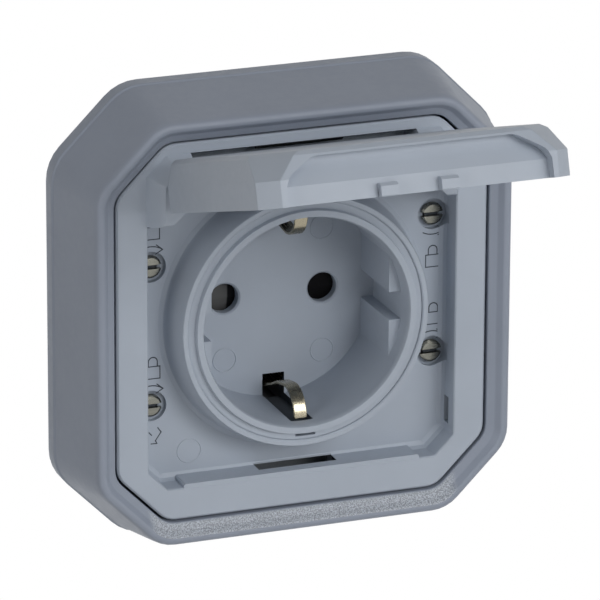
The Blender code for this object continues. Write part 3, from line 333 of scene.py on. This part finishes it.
# plated or plain metal with faint drawn streaks along one axis
def platedMetal(name, finish, along):
    material, tree, shader = startMaterial(name, finish["colour"], finish["rough"], 1.0)
    position = objectPosition(tree)
    mapping = tree.nodes.new("ShaderNodeMapping")
    stretch = [1.0, 1.0, 1.0]
    stretch[along] = drawn["stretch"]
    mapping.inputs["Scale"].default_value = stretch
    tree.links.new(position, mapping.inputs["Vector"])
    streak = noiseOf(tree, mapping.outputs[0], drawn["size"], 3.0)
    gloss = spread(tree, streak, finish["rough"] - drawn["smoother"], finish["rough"] + finish["streak"])
    tree.links.new(gloss, shader.inputs["Roughness"])
    colour = mixColours(tree, spread(tree, streak, 0.0, 1.0), shaded(finish["colour"], drawn["darker"]),
                        finish["colour"])
    tree.links.new(colour, shader.inputs["Base Color"])
    tree.links.new(bumpFrom(tree, streak, drawn["height"]), shader.inputs["Normal"])
    return material


# plastic painted near-black as shade inside the pin holes, with a lighter end behind the left pin hole
def shutterShadedPlastic(finish):
    material, tree, shader = startMaterial("shutterShadedPlastic", finish["colour"], finish["rough"])
    position = objectPosition(tree)
    split = tree.nodes.new("ShaderNodeSeparateXYZ")
    tree.links.new(position, split.inputs[0])
    side = mapValue(tree, split.outputs["X"], finish["tipFrom"], finish["tipTo"], 0.0, 1.0)
    tree.links.new(mixColours(tree, side, finish["colour"], finish["tip"]), shader.inputs["Base Color"])
    grain = noiseOf(tree, position, patterns["shutterGrain"], 2.0)
    tree.links.new(bumpFrom(tree, grain, finish["grain"] * mm), shader.inputs["Normal"])
    shader.inputs["Specular IOR Level"].default_value = finish["shine"]
    return material


panelPlastic = mouldedPlastic("panelPlastic", finishes["panel"])
# the frame's darker grey is partly painted shade for its flanks; its lower band carries painted light
outerPlasticShadeAndLight = framePlasticShadeAndLight(finishes["frame"])
innerPlastic = mouldedPlastic("innerPlastic", finishes["inner"])
sealRubber = mouldedPlastic("sealRubber", finishes["rubber"])
# the dark grey that stands for shade in slots, holes and sign lines
paintedShadeGrey = mouldedPlastic("paintedShadeGrey", finishes["groove"])
nickelPlate = platedMetal("nickelPlate", finishes["nickel"], 0)
clipMetal = platedMetal("clipMetal", finishes["clip"], 1)
contactBrass = platedMetal("contactBrass", finishes["brass"], 2)
shutterPaintedShade = shutterShadedPlastic(finishes["shutter"])
print("materials made")


# each fixed node gets the finish of its slot in the record
def dressNodes():
    bySlot = {
        "frame_plastic": outerPlasticShadeAndLight, "panel_plastic": panelPlastic, "inner_plastic": innerPlastic,
        "rubber": sealRubber, "steel": nickelPlate, "zinc": nickelPlate, "brass": contactBrass,
    }
    for entry in frame["record"]["subparts"]:
        setMaterial(nodes[entry["node"]], bySlot[entry["material_slot"]])
    setMaterial(nodes["earth_strap"], clipMetal)
    setMaterial(nodes["shutter"], shutterPaintedShade)


dressNodes()


# a solid for cutting or joining, extruded from its first row of corners to each of the next
def makeSolid(name, rows):
    bpy.ops.mesh.primitive_circle_add(vertices=len(rows[0]), fill_type="NGON")
    piece = bpy.context.object
    piece.name = name
    for vertex, corner in zip(piece.data.vertices, rows[0]):
        vertex.co = corner
    for i in range(1, len(rows)):
        bpy.ops.object.mode_set(mode="EDIT")
        bpy.ops.mesh.extrude_region_move()
        bpy.ops.object.mode_set(mode="OBJECT")
        for vertex in piece.data.vertices:
            if vertex.select:
                nearest = min(range(len(rows[0])), key=lambda j: (rows[i - 1][j] - vertex.co).length)
                vertex.co = rows[i][nearest]
    bpy.ops.object.mode_set(mode="EDIT")
    bpy.ops.mesh.select_all(action="SELECT")
    bpy.ops.mesh.normals_make_consistent(inside=False)
    bpy.ops.object.mode_set(mode="OBJECT")
    return piece


def makeBox(low, high):
    size = [h - l for l, h in zip(low, high)]
    middle = [(h + l) / 2 for l, h in zip(low, high)]
    bpy.ops.mesh.primitive_cube_add(size=1.0, location=middle, scale=size)
    return settle(bpy.context.object)


def applyBoolean(piece, tool, operation):
    step = piece.modifiers.new("shape", "BOOLEAN")
    step.operation = operation
    step.solver = "EXACT"
    step.object = tool
    makeActive(piece)
    bpy.ops.object.modifier_apply(modifier="shape")
    bpy.data.objects.remove(tool, do_unlink=True)


# the lid's end: a border that stands proud round a hollowed finger pocket, with two latch tabs; all in mm,
# measured on the shut lid: x, behind the hinge's axis, and reach, which is the distance below that axis
lidForm = {
    "axis": (0.0, -17.5, 28.0), "open": 107.6,
    "borderGain": 1.1, "gainFrom": 46.0, "gainTo": 52.5,
    "cavityHalf": 26.9, "cavityFront": -2.86, "cavityCorner": 78.6,
    "cavityWall": 54.65, "cavityTurn": 1.6, "cavitySlope": 0.52,
    # behind the axis, half width, reach of the pocket's floor
    "pocket": ((-3.2, 18.0, 52.9), (-2.9, 18.85, 52.9), (-2.4, 19.75, 52.92), (-1.5, 21.25, 53.05),
               (-0.6, 22.7, 53.5), (0.1, 23.4, 53.85), (0.8, 23.75, 54.2), (1.6, 24.05, 54.6),
               (5.3, 24.1, 54.7)),
    "beyond": 60.0,
    "tabs": (-5.5, 5.5), "tabHalf": 1.6,
    "tabOutline": ((4.9, 54.2), (4.9, 56.1), (4.7, 56.25), (3.1, 56.25), (2.6, 55.7), (2.6, 54.2)),
}


def inLidCavity(x, behind, reach):
    wall = lidForm["cavityWall"] - lidForm["cavitySlope"] * max(0.0, lidForm["cavityTurn"] - behind)
    return (behind > lidForm["cavityFront"] and abs(x) < lidForm["cavityHalf"] and reach < wall
            and abs(x) + reach < lidForm["cavityCorner"])


def reshapeLid(piece):
    axis = Vector(lidForm["axis"]) * mm
    place = Matrix.Translation(axis) @ Matrix.Rotation(-radians(lidForm["open"]), 4, "X")
    back = place.inverted()
    for vertex in piece.data.vertices:
        point = back @ vertex.co
        reach = -point.z / mm
        if reach > lidForm["gainFrom"] and not inLidCavity(point.x / mm, point.y / mm, reach):
            share = (reach - lidForm["gainFrom"]) / (lidForm["gainTo"] - lidForm["gainFrom"])
            point.z -= lidForm["borderGain"] * mm * min(1.0, share)
            vertex.co = place @ point

    def onLid(x, behind, reach):
        return place @ (Vector((x, behind, -reach)) * mm)

    rows = []
    for behind, half, floor in lidForm["pocket"]:
        corners = ((-half, floor), (half, floor), (half, lidForm["beyond"]), (-half, lidForm["beyond"]))
        rows.append([onLid(x, behind, reach) for x, reach in corners])
    applyBoolean(piece, makeSolid("pocket", rows), "DIFFERENCE")
    for middle in lidForm["tabs"]:
        ends = (middle - lidForm["tabHalf"], middle + lidForm["tabHalf"])
        rows = [[onLid(x, behind, reach) for behind, reach in lidForm["tabOutline"]] for x in ends]
        applyBoolean(piece, makeSolid("tab", rows), "UNION")


# the latch slot runs on through the tray's floor, so that it looks into the dark behind
latchSlot = {"low": (-7.5 * mm, -15.1 * mm, -31.7 * mm), "high": (7.5 * mm, -9.4 * mm, -28.72 * mm)}

# rings of the collar and the cup that are moved: old radius, new radius, place in depth, all in mm
movedRings = {
    "collar": ((23.2, 23.4, -19.2),),
    "cup": ((22.1, 22.36, -18.8), (20.7, 20.95, -19.8), (20.05, 19.85, -19.8)),
    "nearRadius": 0.05, "nearDepth": 0.12,
}


def moveRings(piece, rings):
    for vertex in piece.data.vertices:
        radius = sqrt(vertex.co.x ** 2 + vertex.co.z ** 2) / mm
        for old, new, depth in rings:
            near = abs(vertex.co.y / mm - depth) < movedRings["nearDepth"]
            if near and abs(radius - old) < movedRings["nearRadius"]:
                vertex.co.x *= new / radius
                vertex.co.z *= new / radius
                break


def reshapePanel(piece):
    applyBoolean(piece, makeBox(latchSlot["low"], latchSlot["high"]), "DIFFERENCE")
    moveRings(piece, movedRings["collar"])


def reshapeCup(piece):
    moveRings(piece, movedRings["cup"])


# the earth clips are narrower where they bow out into the well
clipForm = {"narrowTo": 0.70, "from": -3.0 * mm, "full": -6.0 * mm}


def reshapeStrap(piece):
    for vertex in piece.data.vertices:
        share = (clipForm["from"] - vertex.co.y) / (clipForm["from"] - clipForm["full"])
        share = min(1.0, max(0.0, share))
        vertex.co.x *= 1.0 + (clipForm["narrowTo"] - 1.0) * share


# the quarter-turn screws: place in x and z in mm, and the side that their signs stand on
lockScrews = {"upper_left": (-27.0, 11.1, 1), "lower_left": (-27.0, -15.1, 1),
              "upper_right": (27.0, 15.1, -1), "lower_right": (27.0, -11.1, 1)}

# driver slots, wider and deeper than on the imported screws, with the part painted dark as shade; all in mm
driverSlot = {"half": 0.38, "reach": 3.0, "front": -13.0, "floor": -11.1,
              "shadeHalf": 0.37, "shadeReach": 2.2, "shadeFrom": -11.62, "shadeTo": -10.95}


def reshapeScrew(piece):
    middle = sum((vertex.co for vertex in piece.data.vertices), Vector()) / len(piece.data.vertices)
    x, z = round(middle.x / mm), round(middle.z / mm, 1)
    low = Vector((x - driverSlot["reach"], driverSlot["front"], z - driverSlot["half"])) * mm
    high = Vector((x + driverSlot["reach"], driverSlot["floor"], z + driverSlot["half"])) * mm
    applyBoolean(piece, makeBox(low, high), "DIFFERENCE")


# faces inside narrow openings, painted dark as shade: boxes in mm, each with the way its faces look, 0 for x
# and 2 for z, or None for all faces
shadePaintPlaces = {
    "panelShell": (((-24.0, -17.45, 32.9), (24.0, -7.0, 34.4), 2),
                   ((-7.6, -15.0, -32.0), (7.6, -9.3, -28.6), 0)),
    "wellShell": (((-2.2, -17.0, 15.0), (2.2, 2.0, 21.2), 0), ((-2.2, -17.0, -21.2), (2.2, 2.0, -15.0), 0),
                  ((-2.2, -17.5, 19.8), (2.2, 2.0, 21.4), 2), ((-2.2, -17.5, -21.4), (2.2, 2.0, -19.8), 2)),
}
steepness = 0.6  # how squarely a face looks along the box's way


# gives the faces in these boxes the dark grey of painted shade
def paintShadePlaces(piece):
    piece.data.materials.append(paintedShadeGrey)
    for low, high, way in shadePaintPlaces[piece.name]:
        for face in piece.data.polygons:
            middle = face.center / mm
            inside = all(l < m < h for l, m, h in zip(low, middle, high))
            if inside and (way is None or abs(face.normal[way]) > steepness):
                face.material_index = 1


# shells with softened edges, copied from the nodes they stand for
softShells = {
    "frame_bezel": {"piece": "outerFrameShell", "body": "housing", "slot": "frame_plastic", "edge": 0.22,
                    "angle": 24, "finish": outerPlasticShadeAndLight, "reshape": None},
    "panel": {"piece": "panelShell", "body": "housing", "slot": "panel_plastic", "edge": 0.15,
              "angle": 28, "finish": panelPlastic, "reshape": reshapePanel},
    "socket_cup": {"piece": "wellShell", "body": "housing", "slot": "panel_plastic", "edge": 0.10,
                   "angle": 30, "finish": panelPlastic, "reshape": reshapeCup},
    "lid": {"piece": "lidShell", "body": "lid", "slot": "panel_plastic", "edge": 0.25,
            "angle": 22, "finish": panelPlastic, "reshape": reshapeLid},
    "earth_strap": {"piece": "strapShell", "body": "housing", "slot": "steel", "edge": 0.27,
                    "angle": 45, "finish": clipMetal, "reshape": reshapeStrap},
}
for corner, (x, z, side) in lockScrews.items():
    # the deep part of each slot is painted dark as shade
    shadeLow = (x - driverSlot["shadeReach"], driverSlot["shadeFrom"], z - driverSlot["shadeHalf"])
    shadeHigh = (x + driverSlot["shadeReach"], driverSlot["shadeTo"], z + driverSlot["shadeHalf"])
    shadePaintPlaces["lockScrew_" + corner] = ((shadeLow, shadeHigh, None),)
    softShells["lock_screw_" + corner] = {
        "piece": "lockScrew_" + corner, "body": "lock_" + corner, "slot": "zinc", "edge": 0.08,
        "angle": 35, "finish": nickelPlate, "reshape": reshapeScrew}
softening = {"merge": 0.004 * mm, "flat": 0.6, "segments": 3, "smooth": 28}


# a copy of a node with its doubles merged and its hard edges rounded over
def softenNode(node, look):
    source = nodes[node]
    makeActive(source)
    bpy.ops.object.duplicate()
    piece = bpy.context.view_layer.objects.active
    piece.name = look["piece"]
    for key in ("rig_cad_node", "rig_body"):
        if key in piece:
            del piece[key]
    piece.parent = None
    piece.matrix_world = Matrix.Identity(4)
    piece.data.name = look["piece"]
    makeActive(piece)
    bpy.ops.object.mode_set(mode="EDIT")
    bpy.ops.mesh.select_all(action="SELECT")
    bpy.ops.mesh.customdata_custom_splitnormals_clear()
    bpy.ops.mesh.remove_doubles(threshold=softening["merge"])
    bpy.ops.mesh.dissolve_limited(angle_limit=radians(softening["flat"]))
    bpy.ops.object.mode_set(mode="OBJECT")
    if look["reshape"]:
        look["reshape"](piece)
        makeActive(piece)
    soft = piece.modifiers.new("softEdges", "BEVEL")
    soft.width = look["edge"] * mm
    soft.segments = softening["segments"]
    soft.limit_method = "ANGLE"
    soft.angle_limit = radians(look["angle"])
    soft.use_clamp_overlap = True
    soft.harden_normals = False
    bpy.ops.object.modifier_apply(modifier="softEdges")
    bpy.ops.object.shade_smooth_by_angle(angle=radians(softening["smooth"]))
    even = piece.modifiers.new("evenNormals", "WEIGHTED_NORMAL")
    even.keep_sharp = True
    bpy.ops.object.modifier_apply(modifier="evenNormals")
    setMaterial(piece, look["finish"])
    # faces inside narrow openings get painted shade
    if piece.name in shadePaintPlaces:
        paintShadePlaces(piece)
    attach(piece, look["body"])
    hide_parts(node)
    print(look["piece"], len(piece.data.polygons), "faces")


for node, look in softShells.items():
    softenNode(node, look)


# fine lines for the signs on the tray's floor, painted dark as the shade in their engraved lines, and ejector
# marks there and on the well's floor
trayMarks = {
    "floor": -12.0 * mm, "proud": 0.02 * mm, "line": 0.20 * mm, "softEnd": 0.6,
    "padlockAbove": (0.35 * mm, 5.15 * mm), "padlockBelow": (0.1 * mm, -10.05 * mm),
    "bodyWide": 2.7 * mm, "bodyHigh": 2.3 * mm, "shackleRadius": 0.85 * mm, "shackleRise": 0.9 * mm,
    "arrowRadius": 3.85 * mm, "arrowFrom": 118, "arrowTo": 54,
    "arrowBarbs": ((-1.15 * mm, 0.95 * mm), (-1.3 * mm, -0.75 * mm)),
    "bentArrow": (((-27.02, -22.33), (-25.94, -22.35), (-26.2, -21.79), (-25.13, -20.24), (-25.74, -19.39)),
                  ((-27.4, -20.15), (-26.95, -20.68))),
    "ejector": (-19.8, -24.5), "ejectorRadius": 2.25 * mm, "ejectorLine": 0.13 * mm,
}
wellMarks = {
    "floor": -2.3 * mm, "radius": 2.2 * mm, "line": 0.14 * mm,
    "places": ((-9.45, -11.7), (9.45, -11.9), (9.3, 11.6)),
}
ringSunk = 0.02 * mm


# one straight groove line: a flat bar with softened edges that lies in the floor
def strokeBetween(start, end, width, y, proud):
    sx, sz = start
    ex, ez = end
    length = sqrt((ex - sx) ** 2 + (ez - sz) ** 2)
    bpy.ops.mesh.primitive_cube_add(size=1.0, location=((sx + ex) / 2, y, (sz + ez) / 2),
                                    rotation=(0.0, -atan2(ez - sz, ex - sx), 0.0),
                                    scale=(length + width, 2 * proud, width))
    bar = bpy.context.object
    settle(bar)
    bpy.ops.object.mode_set(mode="EDIT")
    bpy.ops.mesh.select_all(action="SELECT")
    bpy.ops.mesh.bevel(offset=proud * trayMarks["softEnd"], segments=2)
    bpy.ops.object.mode_set(mode="OBJECT")
    return bar


def strokePath(points, width, y, proud):
    return [strokeBetween(points[i], points[i + 1], width, y, proud) for i in range(len(points) - 1)]


def arcPoints(cx, cz, radius, startDegrees, endDegrees, steps):
    points = []
    for i in range(steps + 1):
        a = radians(startDegrees + (endDegrees - startDegrees) * i / steps)
        points.append((cx + radius * cos(a), cz + radius * sin(a)))
    return points


# a plain padlock outline whose body stands on base
def padlockSign(cx, base, marks):
    half = marks["bodyWide"] / 2
    top = base + marks["bodyHigh"]
    width = marks["line"]
    floor, proud = marks["floor"], marks["proud"]
    bars = strokePath([(cx - half, top), (cx - half, base), (cx + half, base), (cx + half, top),
                       (cx - half, top)], width, floor, proud)
    shackle = arcPoints(cx, top + marks["shackleRise"], marks["shackleRadius"], 180, 0, 10)
    shackle = [(shackle[0][0], top)] + shackle + [(shackle[-1][0], top)]
    return bars + strokePath(shackle, width, floor, proud)


# a short curved arrow round a screw's head
def turnArrow(cx, cz, up, marks):
    floor, proud, width = marks["floor"], marks["proud"], marks["line"]
    arc = arcPoints(cx, cz, marks["arrowRadius"], marks["arrowFrom"] * up, marks["arrowTo"] * up, 8)
    tipX, tipZ = arc[-1]
    (firstX, firstZ), (secondX, secondZ) = marks["arrowBarbs"]
    head = [(tipX + firstX, tipZ + firstZ * up), (tipX, tipZ), (tipX + secondX, tipZ + secondZ * up)]
    return strokePath(arc, width, floor, proud) + strokePath(head, width, floor, proud)


def makeTraySigns():
    marks = trayMarks
    bars = []
    for path in marks["bentArrow"]:
        bars += strokePath([(x * mm, z * mm) for x, z in path], marks["line"], marks["floor"], marks["proud"])
    for x, z, up in lockScrews.values():
        cx, cz = x * mm, z * mm
        aside, base = marks["padlockAbove"] if up > 0 else marks["padlockBelow"]
        bars += padlockSign(cx + aside, cz + base, marks)
        bars += turnArrow(cx, cz, up, marks)
    signs = joinPieces(bars, "traySigns")
    # the engraved sign lines get painted shade
    setMaterial(signs, paintedShadeGrey)
    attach(signs, "housing")


def makeRing(place, floor, radius, line):
    x, z = place
    bpy.ops.mesh.primitive_torus_add(major_segments=64, minor_segments=8, major_radius=radius,
                                     minor_radius=line, location=(x * mm, floor + ringSunk, z * mm),
                                     rotation=(pi / 2, 0.0, 0.0))
    return settle(bpy.context.object)


def makeEjectorMarks():
    rings = [makeRing(trayMarks["ejector"], trayMarks["floor"], trayMarks["ejectorRadius"],
                      trayMarks["ejectorLine"])]
    for place in wellMarks["places"]:
        rings.append(makeRing(place, wellMarks["floor"], wellMarks["radius"], wellMarks["line"]))
    marks = joinPieces(rings, "ejectorMarks")
    bpy.ops.object.shade_smooth()
    setMaterial(marks, panelPlastic)
    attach(marks, "housing")


makeTraySigns()
makeEjectorMarks()
print("tray signs and ejector marks made")


# light: a large soft lamp in front and above, with weaker ones from the left, the right, high up and low down
studio = {
    "key": {"place": (0.30, -1.15, 0.55), "size": 0.55, "power": 6.3},
    "left": {"place": (-1.15, -0.45, 0.25), "size": 0.7, "power": 3.3},
    "right": {"place": (0.75, -0.95, 0.25), "size": 0.5, "power": 2.2},
    "high": {"place": (-0.10, -0.75, 0.95), "size": 0.5, "power": 1.35},
    "low": {"place": (0.10, -1.10, -0.45), "size": 0.5, "power": 1.25},
    "ambient": 0.12,
    "floorHeight": -0.30, "floorSize": 6.0, "floorGrey": 0.8, "floorRough": 0.9,
}


def addLamp(name, look):
    place = Vector(look["place"])
    bpy.ops.object.light_add(type="AREA", location=place)
    lamp = bpy.context.object
    lamp.name = name
    lamp.data.shape = "SQUARE"
    lamp.data.size = look["size"]
    lamp.data.energy = look["power"]
    lamp.rotation_mode = "QUATERNION"
    lamp.rotation_quaternion = (-place).to_track_quat("-Z", "Y")


# one for rays that come from the camera, a glossy surface or glass, and nothing for the rest
def whiteToRays(tree):
    rays = tree.nodes.new("ShaderNodeLightPath")
    white = rays.outputs["Is Camera Ray"]
    for kind in ("Is Glossy Ray", "Is Transmission Ray"):
        larger = tree.nodes.new("ShaderNodeMath")
        larger.operation = "MAXIMUM"
        tree.links.new(white, larger.inputs[0])
        tree.links.new(rays.outputs[kind], larger.inputs[1])
        white = larger.outputs[0]
    return white


def makeWorld():
    world = bpy.data.worlds.new("studioWorld")
    scene.world = world
    world.use_nodes = True
    tree = world.node_tree
    background = tree.nodes["Background"]
    background.inputs["Color"].default_value = (1.0, 1.0, 1.0, 1.0)
    strength = mapValue(tree, whiteToRays(tree), 0.0, 1.0, studio["ambient"], 1.0)
    tree.links.new(strength, background.inputs["Strength"])


def makeFloor():
    bpy.ops.mesh.primitive_plane_add(size=studio["floorSize"], location=(0.0, 0.0, studio["floorHeight"]))
    floor = bpy.context.object
    floor.name = "studioFloor"
    material = bpy.data.materials.new("paleFloor")
    material.use_nodes = True
    tree = material.node_tree
    shader = tree.nodes["Principled BSDF"]
    grey = studio["floorGrey"]
    shader.inputs["Base Color"].default_value = (grey, grey, grey, 1.0)
    shader.inputs["Roughness"].default_value = studio["floorRough"]
    glow = tree.nodes.new("ShaderNodeEmission")
    glow.inputs["Color"].default_value = (1.0, 1.0, 1.0, 1.0)
    mixer = tree.nodes.new("ShaderNodeMixShader")
    tree.links.new(whiteToRays(tree), mixer.inputs["Fac"])
    tree.links.new(shader.outputs[0], mixer.inputs[1])
    tree.links.new(glow.outputs[0], mixer.inputs[2])
    tree.links.new(mixer.outputs[0], tree.nodes["Material Output"].inputs["Surface"])
    floor.data.materials.append(material)


for lampName in ("key", "left", "right", "high", "low"):
    addLamp(lampName + "Lamp", studio[lampName])
makeWorld()
makeFloor()
print("lights and floor set")

deselectAll()
